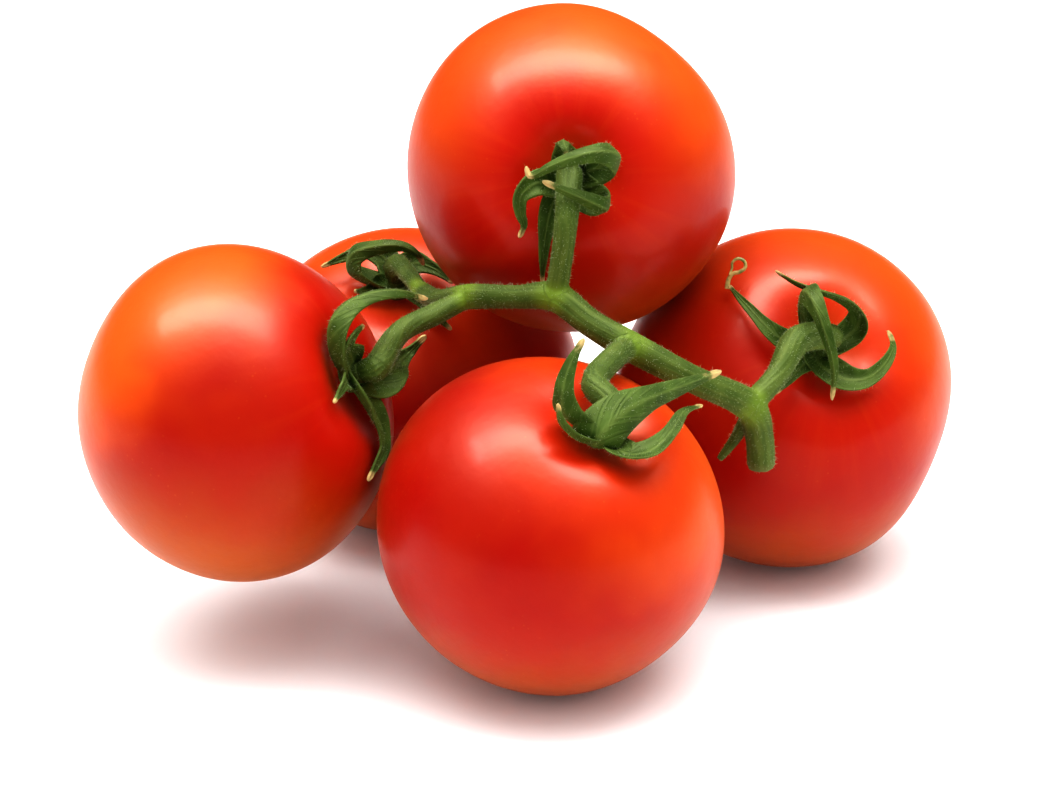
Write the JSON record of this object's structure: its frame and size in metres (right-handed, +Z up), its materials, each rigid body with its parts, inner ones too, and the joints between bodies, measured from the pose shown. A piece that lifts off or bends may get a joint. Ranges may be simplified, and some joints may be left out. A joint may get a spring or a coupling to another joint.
{
  "type": "vine tomato truss",
  "caption": "Truss of ripe round red tomatoes on one branching green stem, with curled calyx sepals, lying as picked on a flat surface.",
  "frame": {"origin": "on the surface the truss lies on, under the middle of its bounding box", "axes": "+Z up; +X along the row of three fruits, the longest extent; -Y the side that the stem and calyxes face"},
  "size_m": [0.1687, 0.1426, 0.1144],
  "materials": {
    "tomato_skin": "smooth glossy ripe tomato skin, orange-red to deep red",
    "calyx_green": "soft matt green sepal with a fine down and dry tan tips",
    "stem_green": "soft matt green vine stem with a fine down and lighter joints"
  },
  "bodies": {
    "root": {"tomato_front": "tomato_skin", "tomato_right": "tomato_skin", "tomato_back": "tomato_skin", "tomato_left": "tomato_skin", "tomato_top": "tomato_skin", "calyx_front": "calyx_green", "calyx_right": "calyx_green", "calyx_back": "calyx_green", "calyx_left": "calyx_green", "calyx_top": "calyx_green", "truss_stem": "stem_green"}
  },
  "joints": []
}
